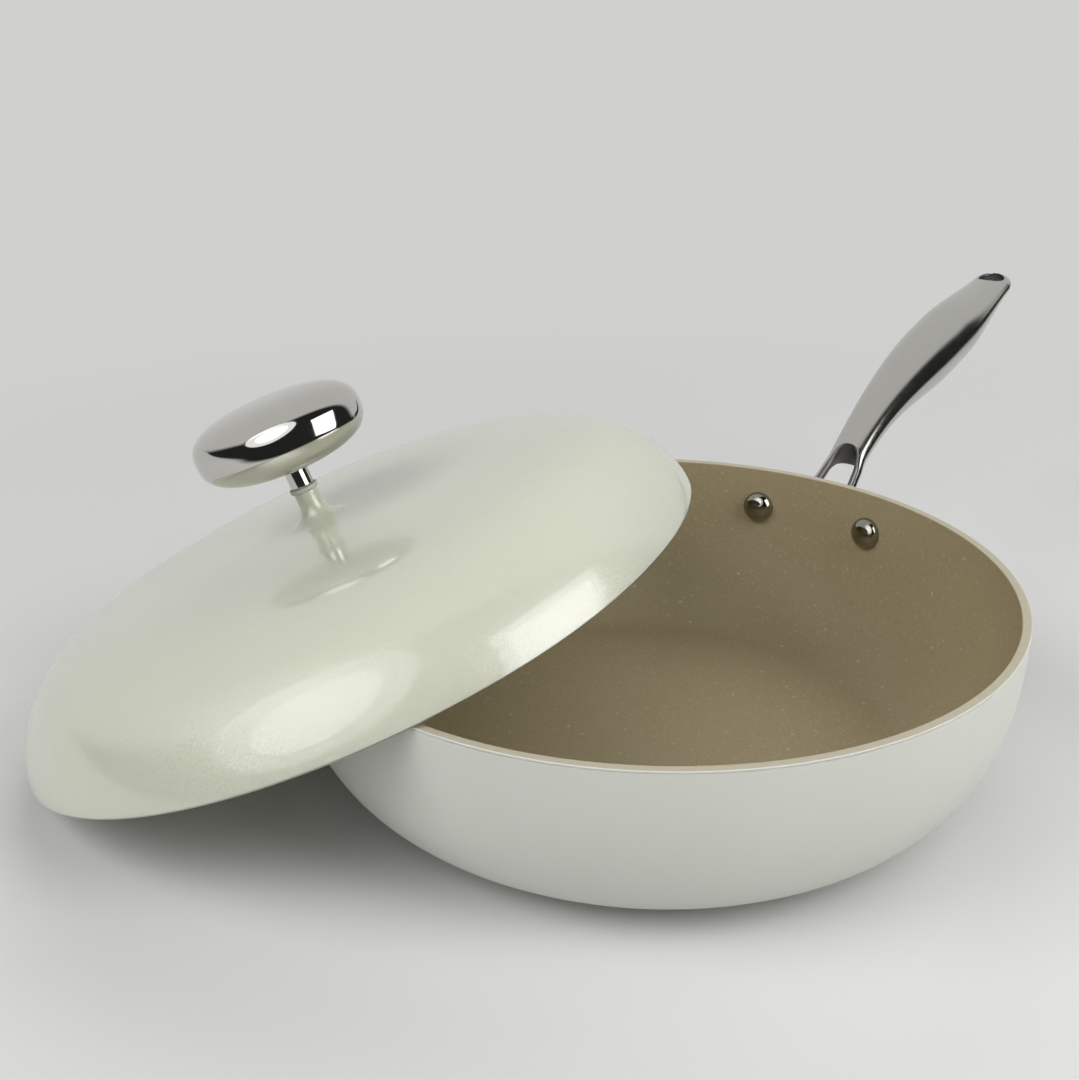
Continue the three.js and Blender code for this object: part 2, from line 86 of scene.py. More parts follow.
GRIP_START = (164.0, 77.0)
GRIP_RUN = (172.4, 58.6)
FORK_ANGLE = 39.2
TIP_ANGLE = 14.9
FORK_LEAD = 39.3
TIP_LEAD = 110.4
FORK_HALF = (8.9, 5.0)
PALM_HALF = (15.0, 11.4)
TIP_HALF = (10.0, 5.4)
GRIP_POWER = 2.3
GRIP_FULL_PLACE = 0.55
GRIP_TAPER_PLACE = 0.62
GRIP_BELLY = 0.3
BELLY_RISE = (0.1, 0.45)
BELLY_FALL = (0.88, 0.6)
TIP_BLUNTNESS = 0.3
TIP_NOSE = 1.0
CROTCH = 5.4
CROTCH_LEAN = 0.5
CROTCH_LEAN_START = 45.0
CROTCH_RADIUS = 4.7
FORK_BLEND = 10.0
HANG_SLOT_HALF = (7.0, 6.2)
HANG_SLOT_MARGIN = 2.0

LID_RADIUS = 141.9
LID_WALL = 1.5
LID_SHOULDER = 37.2
LID_SHOULDER_START = 112.0
LID_CROWN = 4.0
LID_SHOULDER_POWER = 8.0
LID_EDGE_POWER = 1.4
LID_LEAN_AZIMUTH = 117.8
LID_CONTACT_ANGLE = 64.5
LID_REST_GAP = 0.4
TABLE_GAP = 0.2
NECK_TOP_RADIUS = 4.8
NECK_FLARE_WIDTH = 12.0
NECK_FLARE_HEIGHT = 11.0
NECK_FLARE_POWER = 3.0
NECK_HEIGHT = 13.0
SCREW_HOLE = 2.8

GASKET_RADIUS = 5.7
GASKET_THICKNESS = 2.0
STEM_RADIUS = 4.75
STEM_SHOWN = 8.2
STEM_SEAT = 1.5
KNOB_HALF = (36.6, 31.0, 14.5)
KNOB_POWER = 2.7
KNOB_TURN = -15.0
SCREW_HEAD = (4.8, 3.2)
SCREW_SHANK = 2.5
SCREW_REACH = 12.0
SCREW_CROSS = (0.65, 2.5)
SCREW_CROSS_DEPTH = 1.5
SCREW_CROSS_SIDE = (0.8, 1.15)
WASHER_RADIUS = 20.5
WASHER_THICKNESS = 1.2

# Easings of edges in millimetres, in the order in which each profile meets its corners
FLOOR_EASING = 1.2
RECESS_EASINGS = (0.3, 0.4)
BODY_TOP_EASINGS = (0.12, 0.2)
RIM_EASINGS = (0.5, 0.4, 0.15, 0.1)
PLATE_EASING = 0.3
PLATE_HOLE_SIDE = (-0.35, 0.25)
RIVET_EASING = 0.12
SLOT_EASING = 1.1
SLOT_EASING_SHARE = 0.4
FLANGE_EASINGS = (1.0, 1.3, 0.3)
LID_EDGE_EASING = 0.45
NECK_EASINGS = (0.5, 0.2)
GASKET_EASING = 0.45
STEEL_EASING = 0.35
SCREW_EASING = 0.2

# Distances in millimetres from an edge at which the path up to it hands over to the eased one
BODY_TOP_START = 1.2
BODY_BACK_START = 1.0
RIM_START = 1.0
LIP_BACK_START = 0.6
LID_EDGE_START = 1.0
PATH_GAP = 0.2

# Steps of the grids
CURVE_STEPS = 4000
OUTER_STEPS = 49
INNER_STEPS = 27
PLATE_SIDES = 400
LID_SIDES = 288
WASHER_SIDES = 192
SCREW_SIDES = 160
SMALL_SIDES = 96


# Surface building

FLAT_POINT = 1.35
MERGE_METRES = 2e-6


def smooth_step(value, low, high):
    """Rises from 0 at low to 1 at high with level ends: three t squared less two t cubed."""
    t = np.clip((value - low) / (high - low), 0, 1)
    return t * t * (3 - 2 * t)


def mix(first, second, share):
    """The straight mix of two values or arrays."""
    return first + (second - first) * share


def unit(vectors):
    """Vectors of length 1 along the given ones."""
    return vectors / np.linalg.norm(vectors, axis=-1, keepdims=True)


def eased(corners, easing, steps=7):
    """A path through corners, where each inner corner is cut by a parabola that starts and ends a given
    distance from it along its sides; one more point a little outside each end keeps the sides flat."""
    corners = np.array(corners, float)
    middle = corners[1:-1, None]
    reach = np.broadcast_to(easing, len(corners) - 2)[:, None, None]
    back = unit(corners[:-2, None] - middle) * reach
    onward = unit(corners[2:, None] - middle) * reach
    t = np.linspace(0, 1, steps)[None, :, None]
    bends = middle + (1 - t) ** 2 * back + t ** 2 * onward
    bends = np.concatenate([middle + FLAT_POINT * back, bends, middle + FLAT_POINT * onward], axis=1)
    return np.concatenate([corners[:1], bends.reshape(-1, corners.shape[1]), corners[-1:]])


def moved_sideways(path, distance):
    """A path of radius and height moved to its right, seen along its run, by its own normals."""
    run = unit(np.gradient(path, axis=0))
    return path + distance * np.stack([run[:, 1], -run[:, 0]], axis=1)


def below(path, height):
    """The points of a path under a height."""
    return path[path[:, 1] < height]


def bezier(first, second, third, last):
    """A cubic Bezier curve in fine steps: four points weighted by the terms of (1 - t + t) cubed."""
    t = np.linspace(0, 1, CURVE_STEPS)[:, None]
    start = (1 - t) ** 3 * first + 3 * t * (1 - t) ** 2 * second
    return start + 3 * t * t * (1 - t) * third + t ** 3 * last


def turned(profile, sides=256):
    """A profile of radius and height carried once round the upright axis."""
    turn = np.linspace(0, 2 * np.pi, sides, endpoint=False)
    radius, height = np.asarray(profile, float).T[:, :, None]
    return np.stack([radius * np.cos(turn), radius * np.sin(turn), height + 0 * turn], axis=2)


def patch(points, finish=0):
    """Quads between the neighbouring rows of a grid of points whose columns close into rings; finish is
    the number of the material, one for all or one for each quad of the grid."""
    rows, columns = points.shape[:2]
    numbers = np.arange(rows * columns).reshape(rows, columns)
    beside = np.roll(numbers, -1, axis=1)
    quads = np.stack([numbers[:-1], beside[:-1], beside[1:], numbers[1:]], axis=-1)
    finishes = np.broadcast_to(finish, (rows - 1, columns))
    return points.reshape(-1, 3), quads.reshape(-1, 4), finishes.reshape(-1)


def piece(name, patches, finishes, body, node):
    """Joins patches into one mesh at the origin, closes its seams and poles, turns its faces outwards,
    and lets it stand for a solid of the frame."""
    grids, quads, marks = zip(*patches)
    starts = np.cumsum([0, *(len(grid) for grid in grids[:-1])])
    points = np.concatenate(grids)
    quads = np.concatenate([part + start for part, start in zip(quads, starts)])
    used, quads = np.unique(quads, return_inverse=True)
    mesh = bpy.data.meshes.new(name)
    mesh.from_pydata((points[used] * MM).tolist(), [], quads.reshape(-1, 4).tolist())
    for finish in finishes:
        mesh.materials.append(finish)
    mesh.polygons.foreach_set("material_index", np.concatenate(marks).astype(np.int32))
    work = bmesh.new()
    work.from_mesh(mesh)
    bmesh.ops.remove_doubles(work, verts=work.verts, dist=MERGE_METRES)
    bmesh.ops.recalc_face_normals(work, faces=work.faces)
    work.to_mesh(mesh)
    work.free()
    mesh.shade_smooth()
    made = bpy.data.objects.new(name, mesh)
    bpy.context.scene.collection.objects.link(made)
    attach(made, body)
    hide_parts(node)


# Finishes

# Options that many nodes share
COLOURS = {"data_type": "RGBA"}
SMOOTH = {"interpolation_type": "SMOOTHSTEP"}
# Heights in millimetres between which the foot's greying fades and the dressed rim begins
FOOT_GREYING = (6.0, 0.6)
RIM_DRESSED = (76.15, 76.35)
# Shares of a fleck's radius between which it fades out
FLECK_EDGE = (1.35, 0.65)
# Most that a mica flake leans each way, as a share of its normal
FLAKE_TILT = 0.1
# Slope in degrees of the grinding lines along the grip
GRAIN_SLOPE = 22
# A wave texture repeats each time its scale times the distance grows by this
WAVE_PERIOD = np.pi / 10


def linear(code):
    """Turns an sRGB hex colour to linear light."""
    channels = np.array([int(code[start:start + 2], 16) for start in (1, 3, 5)]) / 255
    light = np.where(channels <= 0.04045, channels / 12.92, ((channels + 0.055) / 1.055) ** 2.4)
    return (*light.tolist(), 1.0)


def add(tree, kind, settings=None, inputs=None):
    """Adds one shader node, sets its options, and fills or links its inputs by name or number."""
    node = tree.nodes.new("ShaderNode" + kind)
    for option, value in (settings or {}).items():
        setattr(node, option, value)
    for key, value in (inputs or {}).items():
        if isinstance(value, bpy.types.NodeSocket):
            tree.links.new(value, node.inputs[key])
        else:
            node.inputs[key].default_value = value
    return node


def new_finish(name, numbers):
    """A new material with plain numbers on its shader, and the place on the piece in metres."""
    made = bpy.data.materials.new(name)
    made.use_nodes = True
    tree = made.node_tree
    shader = tree.nodes["Principled BSDF"]
    for socket, value in numbers.items():
        shader.inputs[socket].default_value = value
    place = add(tree, "TexCoord").outputs["Object"]
    return made, tree, shader, place


def dress(tree, shader, colour, roughness, normal=None):
    """Links a finish's patterns to its shader."""
    tree.links.new(colour, shader.inputs["Base Color"])
    tree.links.new(roughness, shader.inputs["Roughness"])
    if normal is not None:
        tree.links.new(normal, shader.inputs["Normal"])


def per(size):
    """Repeats in a metre of a pattern of the given size in millimetres."""
    return 1000 / size


def satin_white_lacquer():
    """Sprayed satin lacquer on pressed aluminium: an even white with a faint orange peel, a soft broad
    gloss, and patches of grey towards the foot."""
    made, tree, shader, place = new_finish("satin_white_lacquer", {"IOR": 1.5})
    cloud = add(tree, "TexNoise", None, {"Vector": place, "Scale": per(55), "Detail": 3})
    tone = add(tree, "Mix", COLOURS, {
        0: cloud.outputs["Fac"], 6: linear("#c7c8c0"), 7: linear("#cecfc7")})
    height = add(tree, "SeparateXYZ", None, {"Vector": place})
    # Greyer in patches towards the foot, over its lowest 6 mm
    foot_mottle = add(tree, "TexNoise", None, {"Vector": place, "Scale": per(7), "Detail": 4})
    low = add(tree, "MapRange", SMOOTH, {
        "Value": height.outputs["Z"], "From Min": FOOT_GREYING[0] * MM, "From Max": FOOT_GREYING[1] * MM,
        "To Max": 0.55})
    greyed = add(tree, "Math", {"operation": "MULTIPLY"}, {
        0: low.outputs[0], 1: foot_mottle.outputs["Fac"]})
    colour = add(tree, "Mix", COLOURS, {
        0: greyed.outputs[0], 6: tone.outputs[2], 7: linear("#a9a89d")})
    grain = add(tree, "TexNoise", None, {"Vector": place, "Scale": per(0.5), "Detail": 2})
    rough = add(tree, "MapRange", None, {
        "Value": grain.outputs["Fac"], "To Min": 0.38, "To Max": 0.5})
    peel = add(tree, "TexNoise", None, {"Vector": place, "Scale": per(1.8), "Detail": 2})
    relief = add(tree, "Bump", None, {
        "Height": peel.outputs["Fac"], "Strength": 0.12, "Distance": 0.05 * MM})
    dress(tree, shader, colour.outputs[2], rough.outputs[0], relief.outputs[0])
    return made


def speckled_ceramic():
    """Sprayed sol-gel ceramic non-stick coat: matte beige with pale and a few dark mineral flecks, and
    paler where the flat rim was dressed."""
    made, tree, shader, place = new_finish("speckled_ceramic", {"IOR": 1.5})
    cloud = add(tree, "TexNoise", None, {"Vector": place, "Scale": per(38), "Detail": 4})
    colour = add(tree, "Mix", COLOURS, {
        0: cloud.outputs["Fac"], 6: linear("#9a8e6e"), 7: linear("#a39677")}).outputs[2]
    flecks = (
        (2.0, 0.75, 0.22, "#887c5c", 0.35),
        (1.5, 0.45, 0.32, "#b3a887", 0.4),
        (2.8, 0.62, 0.20, "#beb393", 0.45),
        (6.5, 0.70, 0.10, "#c9c0a3", 0.7),
    )
    for cell, rarity, radius, shade, strength in flecks:
        dots = add(tree, "TexVoronoi", None, {"Vector": place, "Scale": per(cell)})
        pick = add(tree, "SeparateColor", None, {"Color": dots.outputs["Color"]})
        chosen = add(tree, "Math", {"operation": "GREATER_THAN"}, {
            0: pick.outputs[0], 1: rarity})
        spot = add(tree, "MapRange", SMOOTH, {
            "Value": dots.outputs["Distance"], "From Min": radius * FLECK_EDGE[0],
            "From Max": radius * FLECK_EDGE[1], "To Max": strength})
        shown = add(tree, "Math", {"operation": "MULTIPLY"}, {
            0: spot.outputs[0], 1: chosen.outputs[0]})
        colour = add(tree, "Mix", COLOURS, {
            0: shown.outputs[0], 6: colour, 7: linear(shade)}).outputs[2]
    height = add(tree, "SeparateXYZ", None, {"Vector": place})
    rim = add(tree, "MapRange", SMOOTH, {
        "Value": height.outputs["Z"], "From Min": RIM_DRESSED[0] * MM, "From Max": RIM_DRESSED[1] * MM})
    scuff = add(tree, "TexNoise", None, {"Vector": place, "Scale": per(4), "Detail": 3})
    dressed = add(tree, "Mix", COLOURS, {
        0: scuff.outputs["Fac"], 6: linear("#a8a18c"), 7: linear("#b3ac99")})
    whole = add(tree, "Mix", COLOURS, {
        0: rim.outputs[0], 6: colour, 7: dressed.outputs[2]})
    rough = add(tree, "MapRange", None, {
        "Value": cloud.outputs["Fac"], "To Min": 0.46, "To Max": 0.6})
    pebble = add(tree, "TexNoise", None, {"Vector": place, "Scale": per(1.1), "Detail": 3})
    relief = add(tree, "Bump", None, {
        "Height": pebble.outputs["Fac"], "Strength": 0.2, "Distance": 0.06 * MM})
    dress(tree, shader, whole.outputs[2], rough.outputs[0], relief.outputs[0])
    return made


def pearl_cream_lacquer():
    """Pearl lacquer under a clear coat on pressed aluminium: a cream with fine mica flakes, each tilted
    its own way, that glitter round the highlights, and a glossy skin that mirrors the knob. Real mica is
    some 0.03 mm; it is drawn at 0.4 mm."""
    made, tree, shader, place = new_finish("pearl_cream_lacquer", {
        "IOR": 1.6, "Metallic": 0.06, "Coat Weight": 1.0, "Coat Roughness": 0.085, "Coat IOR": 1.62})
    cloud = add(tree, "TexNoise", None, {"Vector": place, "Scale": per(70), "Detail": 2})
    tone = add(tree, "Mix", COLOURS, {
        0: cloud.outputs["Fac"], 6: linear("#c5c7b4"), 7: linear("#caccba")})
    mica = add(tree, "TexVoronoi", None, {"Vector": place, "Scale": per(0.4)})
    glint = add(tree, "SeparateColor", None, {"Color": mica.outputs["Color"]})
    colour = add(tree, "Mix", {"data_type": "RGBA", "blend_type": "SOFT_LIGHT"}, {
        0: 0.04, 6: tone.outputs[2], 7: mica.outputs["Color"]})
    rough = add(tree, "MapRange", None, {
        "Value": glint.outputs[1], "To Min": 0.3, "To Max": 0.46})
    tilt = add(tree, "VectorMath", {"operation": "MULTIPLY_ADD"}, {
        0: mica.outputs["Color"], 1: (2 * FLAKE_TILT,) * 3, 2: (-FLAKE_TILT,) * 3})
    facing = add(tree, "NewGeometry")
    leaning = add(tree, "VectorMath", {"operation": "ADD"}, {
        0: facing.outputs["Normal"], 1: tilt.outputs[0]})
    flake = add(tree, "VectorMath", {"operation": "NORMALIZE"}, {0: leaning.outputs[0]})
    dress(tree, shader, colour.outputs[2], rough.outputs[0], flake.outputs[0])
    return made


def mirror_steel(name, dark, light):
    """Stainless steel polished on a cloth wheel: a clear grey mirror with faint hazy smears."""
    made, tree, shader, place = new_finish(name, {"Metallic": 1.0})
    smear = add(tree, "TexNoise", None, {"Vector": place, "Scale": per(14), "Detail": 5})
    tone = add(tree, "Mix", COLOURS, {
        0: smear.outputs["Fac"], 6: linear(dark), 7: linear(light)})
    rough = add(tree, "MapRange", None, {
        "Value": smear.outputs["Fac"], "From Min": 0.3, "From Max": 0.75,
        "To Min": 0.035, "To Max": 0.09})
    dress(tree, shader, tone.outputs[2], rough.outputs[0])
    return made


def satin_polished_steel():
    """Cast stainless steel ground lengthwise and then polished: a soft grey sheen with hairlines along
    the grip. The grinding lines are drawn 0.4 mm wide and 35 mm long."""
    made, tree, shader, place = new_finish("satin_polished_steel", {"Metallic": 1.0})
    along = add(tree, "Mapping", None, {
        "Vector": place, "Rotation": (0, np.radians(GRAIN_SLOPE), 0),
        "Scale": (per(35), per(0.4), per(0.4))})
    lines = add(tree, "TexNoise", None, {
        "Vector": along.outputs[0], "Scale": 1.0, "Detail": 3})
    smear = add(tree, "TexNoise", None, {"Vector": place, "Scale": per(20), "Detail": 4})
    tone = add(tree, "Mix", COLOURS, {
        0: lines.outputs["Fac"], 6: linear("#c3c2bb"), 7: linear("#cdccc6")})
    both = add(tree, "Math", {"operation": "ADD"}, {
        0: lines.outputs["Fac"], 1: smear.outputs["Fac"]})
    rough = add(tree, "MapRange", None, {
        "Value": both.outputs[0], "From Min": 0.6, "From Max": 1.4, "To Min": 0.12, "To Max": 0.22})
    relief = add(tree, "Bump", None, {
        "Height": lines.outputs["Fac"], "Strength": 0.03, "Distance": 0.02 * MM})
    dress(tree, shader, tone.outputs[2], rough.outputs[0], relief.outputs[0])
    return made


def cast_steel_painted_shade():
    """Stainless steel left as cast inside the hanging slot and between the legs, where no wheel reaches:
    a dull, sandy skin of 0.7 mm grit, and a dark grey that is painted shade for these recesses."""
    made, tree, shader, place = new_finish("cast_steel_painted_shade", {"Metallic": 1.0})
    grit = add(tree, "TexNoise", None, {"Vector": place, "Scale": per(0.7), "Detail": 3})
    tone = add(tree, "Mix", COLOURS, {
        0: grit.outputs["Fac"], 6: linear("#6a6866"), 7: linear("#7a7876")})
    rough = add(tree, "MapRange", None, {
        "Value": grit.outputs["Fac"], "To Min": 0.4, "To Max": 0.55})
    relief = add(tree, "Bump", None, {
        "Height": grit.outputs["Fac"], "Strength": 0.15, "Distance": 0.04 * MM})
    dress(tree, shader, tone.outputs[2], rough.outputs[0], relief.outputs[0])
    return made


def turned_steel():
    """Ferritic steel faced on a lathe: rings 0.6 mm apart that spread the gloss, and a dull bloom."""
    made, tree, shader, place = new_finish("turned_steel", {"Metallic": 1.0})
    rings = add(tree, "TexWave", {"wave_type": "RINGS", "rings_direction": "Z"}, {
        "Vector": place, "Scale": WAVE_PERIOD * per(0.6), "Distortion": 1.2, "Detail": 2})
    bloom = add(tree, "TexNoise", None, {"Vector": place, "Scale": per(18), "Detail": 4})
    tone = add(tree, "Mix", COLOURS, {
        0: bloom.outputs["Fac"], 6: linear("#aeaca7"), 7: linear("#bebdb8")})
    rough = add(tree, "MapRange", None, {
        "Value": bloom.outputs["Fac"], "To Min": 0.28, "To Max": 0.46})
    relief = add(tree, "Bump", None, {
        "Height": rings.outputs["Fac"], "Strength": 0.25, "Distance": 0.03 * MM})
    dress(tree, shader, tone.outputs[2], rough.outputs[0], relief.outputs[0])
    return made


def cut_aluminium():
    """Aluminium left bare where the sheet was trimmed: a soft grey with shear marks 0.8 mm apart."""
    made, tree, shader, place = new_finish("cut_aluminium", {"Metallic": 1.0})
    marks = add(tree, "TexNoise", None, {"Vector": place, "Scale": per(0.8), "Detail": 2})
    tone = add(tree, "Mix", COLOURS, {
        0: marks.outputs["Fac"], 6: linear("#b3b2ad"), 7: linear("#c6c5c0")})
    rough = add(tree, "MapRange", None, {
        "Value": marks.outputs["Fac"], "To Min": 0.34, "To Max": 0.5})
    dress(tree, shader, tone.outputs[2], rough.outputs[0])
    return made


def moulded_silicone():
    """Moulded silicone rubber: a milky grey that light enters a little, with a dusty matte skin."""
    made, tree, shader, place = new_finish("moulded_silicone", {
        "IOR": 1.41, "Subsurface Weight": 0.3, "Subsurface Radius": (0.002, 0.002, 0.002)})
    dust = add(tree, "TexNoise", None, {"Vector": place, "Scale": per(1.5), "Detail": 3})
    tone = add(tree, "Mix", COLOURS, {
        0: dust.outputs["Fac"], 6: linear("#b6b7ac"), 7: linear("#c4c5bb")})
    rough = add(tree, "MapRange", None, {
        "Value": dust.outputs["Fac"], "To Min": 0.45, "To Max": 0.62})
    dress(tree, shader, tone.outputs[2], rough.outputs[0])
    return made


white_lacquer = satin_white_lacquer()
ceramic = speckled_ceramic()
pearl_lacquer = pearl_cream_lacquer()
knob_steel = mirror_steel("mirror_polished_steel", "#cbc9c4", "#d3d2cd")
# The rivets' steel is darker than the knob's: painted shade, standing for the dark room the domes mirror
rivet_steel_painted_shade = mirror_steel("rivet_steel_painted_shade", "#98958c", "#a3a097")
handle_steel = satin_polished_steel()
# The slot's and fork's dark grey steel is painted shade for these recesses
slot_steel_painted_shade = cast_steel_painted_shade()
plate_steel = turned_steel()
bare_aluminium = cut_aluminium()
silicone = moulded_silicone()


# Pan

# Millimetres by which the nearly upright wall and rim lean in where their eased edges start
WALL_LEAN_IN = 0.002
RIM_LEAN_IN = 0.01
# Millimetres in from the lip's edge that have the wall's white
WHITE_EDGE = 0.42
# Millimetres to each side between which a slope is measured
WALL_PROBE = 0.05
# Millimetres of the plate's face left to its eased edge, and of a peg left to the side of its hole
PLATE_FACE_MARGIN = 0.5
PEG_MARGIN = 0.2


def wall_curve():
    """The outside of the bowl's wall, level at the base's edge and upright at the rim: radius grows with
    the sine and height with the missing cosine of an angle, both to the power 0.8."""
    angle = np.linspace(0, QUARTER, 160)
    across = np.sin(angle) ** WALL_BEND
    down = np.clip(np.cos(angle), 0, 1) ** WALL_BEND
    return np.stack([mix(BASE_RADIUS, PAN_RADIUS, across), mix(PAN_HEIGHT, BASE_LOW, down)], axis=1)


def wall_at(height):
    """Radius of the wall's outside at a height, and its outward normal as radius and height."""
    def radius(level):
        down = np.clip((PAN_HEIGHT - level) / (PAN_HEIGHT - BASE_LOW), 0, 1)
        return mix(BASE_RADIUS, PAN_RADIUS, np.sin(np.arccos(down ** (1 / WALL_BEND))) ** WALL_BEND)
    lean = (radius(height + WALL_PROBE) - radius(height - WALL_PROBE)) / (2 * WALL_PROBE)
    length = np.hypot(1, lean)
    return radius(height), 1 / length, -lean / length


outer_wall = wall_curve()


def inside_path(depth):
    """The pan's inside at a depth under the coat's face, from the middle outwards: a level floor and a
    wall at an even distance from its outside, whichever is higher, with their corner rounded by a
    parabola."""
    wall = moved_sideways(outer_wall, depth - RIM_WIDTH)
    middle = np.linspace(0, BASE_RADIUS, 14)[:-1]
    radius = np.concatenate([middle, wall[:, 0]])
    height = np.concatenate([0 * middle + wall[0, 1], wall[:, 1]])
    floor = FLOOR_HIGH - depth
    share = np.clip(0.5 + 0.5 * (height - floor) / FLOOR_EASING, 0, 1)
    return np.stack([radius, mix(floor, height, share) + FLOOR_EASING * share * (1 - share)], axis=1)


def body_profile():
    """Underside with the plate's recess, the wall outside, the top edge under the lining's lip, and the
    wall inside behind the lining."""
    recess_radius, recess_height = PLATE_RECESS
    underside = eased([
        (0, recess_height), (recess_radius, recess_height), (recess_radius, BASE_LOW),
        (BASE_RADIUS, BASE_LOW),
    ], RECESS_EASINGS)
    wall = below(outer_wall, BODY_TOP - BODY_TOP_START - PATH_GAP)
    behind = below(inside_path(LINING_SEAT), BODY_TOP - BODY_BACK_START)
    top = eased([
        (PAN_RADIUS - WALL_LEAN_IN, BODY_TOP - BODY_TOP_START), (PAN_RADIUS, BODY_TOP),
        (PAN_RADIUS - BODY_EDGE_WIDTH, BODY_TOP), behind[-1],
    ], BODY_TOP_EASINGS)
    return np.concatenate([underside, wall[1:], top, behind[-2::-1]])


def lining_profile():
    """The coat's face from the middle of the floor up to the flat rim, over its lip, and back behind."""
    rim_inner = PAN_RADIUS - RIM_WIDTH
    face = below(inside_path(0), PAN_HEIGHT - RIM_START - PATH_GAP)
    behind = below(inside_path(LINING_THICKNESS), LIP_LOW - LIP_BACK_START)
    rim = eased([
        (rim_inner - RIM_LEAN_IN, PAN_HEIGHT - RIM_START), (rim_inner, PAN_HEIGHT),
        (PAN_RADIUS, PAN_HEIGHT), (PAN_RADIUS, LIP_LOW), (rim_inner + LINING_THICKNESS, LIP_LOW),
        behind[-1],
    ], RIM_EASINGS)
    return np.concatenate([face, rim, behind[-2::-1]])


def lining_patch():
    """The turned coat; the edge of its lip, flush with the wall, has the wall's white."""
    profile = lining_profile()
    white = np.minimum(profile[:-1, 0], profile[1:, 0]) > PAN_RADIUS - WHITE_EDGE
    return patch(turned(profile), white[:, None].astype(int))


def plate_patches():
    """The plate's round underside as a height over a polar grid, sunk with steep rounded sides where a
    hole shows the aluminium, then its edge and its hidden top."""
    turn = np.linspace(0, 2 * np.pi, PLATE_SIDES, endpoint=False)
    radius = np.linspace(0, PLATE_RADIUS - PLATE_FACE_MARGIN, 150)[:, None]
    x, y = radius * np.cos(turn), radius * np.sin(turn)
    spots = np.concatenate([
        ring * np.stack([np.cos(around), np.sin(around)], axis=1)
        for ring, count in PLATE_RINGS
        for around in [2 * np.pi * np.arange(count) / count]
    ])
    nearest = np.min(np.hypot(x[..., None] - spots[:, 0], y[..., None] - spots[:, 1]), axis=2)
    low, high = np.add(PLATE_HOLE_RADIUS, PLATE_HOLE_SIDE)
    sunk = PLATE_HOLE_DEPTH * (1 - smooth_step(nearest, low, high))
    peg = nearest[:-1] < PLATE_HOLE_RADIUS - PEG_MARGIN
    edge = turned(eased([
        (PLATE_RADIUS - PLATE_FACE_MARGIN, 0), (PLATE_RADIUS, 0), (PLATE_RADIUS, PLATE_THICKNESS),
        (0, PLATE_THICKNESS),
    ], PLATE_EASING), PLATE_SIDES)
    return [patch(np.stack([x, y, sunk], axis=2), peg.astype(int)), patch(edge)]


def rivet_patch(side):
    """A turned rivet: domed head inside the pan, shank through the wall, low domed tail outside; its
    axis is stood on the wall's normal and swung round to its side."""
    arc = np.linspace(0, QUARTER, 20)
    head_radius, head_height = RIVET_HEAD
    tail_radius, tail_height = RIVET_TAIL
    head_back = RIVET_HEAD_SEAT + RIVET_HEAD_BRIM
    tail_back = RIVET_TAIL_SEAT - RIVET_TAIL_BRIM
    head = np.stack([head_radius * np.sin(arc), RIVET_HEAD_SEAT - head_height * np.cos(arc)], axis=1)
    tail = np.stack([tail_radius * np.cos(arc), RIVET_TAIL_SEAT + tail_height * np.sin(arc)], axis=1)
    under = eased([
        head[-1], (head_radius, head_back), (RIVET_SHANK, head_back), (RIVET_SHANK, tail_back),
        (tail_radius, tail_back), tail[0],
    ], RIVET_EASING)
    profile = np.concatenate([head, under[1:], tail[1:]])
    x, y, z = np.moveaxis(turned(profile, SMALL_SIDES), 2, 0)
    radius, outward, upward = wall_at(RIVET_HEIGHT)
    swing = side * np.arcsin(RIVET_SPACING / 2 / radius)
    reach = radius + z * outward - x * upward
    return patch(np.stack([
        reach * np.cos(swing) - y * np.sin(swing),
        reach * np.sin(swing) + y * np.cos(swing),
        RIVET_HEIGHT + z * upward + x * outward,
    ], axis=2))


# Handle

# Millimetres to each side between which a curve's direction is measured
CURVE_PROBE = 0.2
# Smaller lengths in millimetres count as nothing
NOTHING = 1e-6


def slope(angle):
    """Unit direction in the handle's upright plane."""
    return np.array([np.cos(np.radians(angle)), 0, np.sin(np.radians(angle))])


def along_curve(curve):
    """A function that gives the points of a finely stepped curve at distances along it, going straight
    on before its start and beyond its end, and the curve's length."""
    steps = np.linalg.norm(np.diff(curve, axis=0), axis=1)
    reach = np.concatenate([[0], np.cumsum(steps)])

    def point(distance):
        inside = np.stack([np.interp(distance, reach, axis) for axis in curve.T], axis=1)
        before = np.minimum(distance, 0)[:, None] * unit(curve[1] - curve[0])
        beyond = np.maximum(distance - reach[-1], 0)[:, None] * unit(curve[-1] - curve[-2])
        return inside + before + beyond

    return point, reach[-1]


grip_start = np.array([GRIP_START[0], 0, GRIP_START[1]])
grip_end = grip_start + (GRIP_RUN[0], 0, GRIP_RUN[1])
grip_point, grip_length = along_curve(bezier(
    grip_start, grip_start + FORK_LEAD * slope(FORK_ANGLE),
    grip_end - TIP_LEAD * slope(TIP_ANGLE), grip_end))


def frames(point, distance):
    """Points along a curve with the directions across it (nearly +Y) and up from it."""
    ahead = unit(point(distance + CURVE_PROBE) - point(distance - CURVE_PROBE))
    across = unit(np.array([0, 1, 0]) - ahead[:, 1:2] * ahead)
    return point(distance), across, np.cross(ahead, across)


def grip_half(distance):
    """Half width and half depth of the grip: slim at the fork, full in the palm, slim and round at the
    tip."""
    place = distance / grip_length
    palm = smooth_step(place, 0, GRIP_FULL_PLACE)
    tip = smooth_step(place, GRIP_TAPER_PLACE, 1)
    round_in = 1 - np.clip((grip_length - distance) / TIP_HALF[0], 0, 1)
    end = mix(np.sqrt(1 - round_in ** 2), 1, TIP_BLUNTNESS)
    halves = zip(FORK_HALF, PALM_HALF, TIP_HALF)
    return [mix(mix(fork, full, palm), last, tip) * end for fork, full, last in halves]


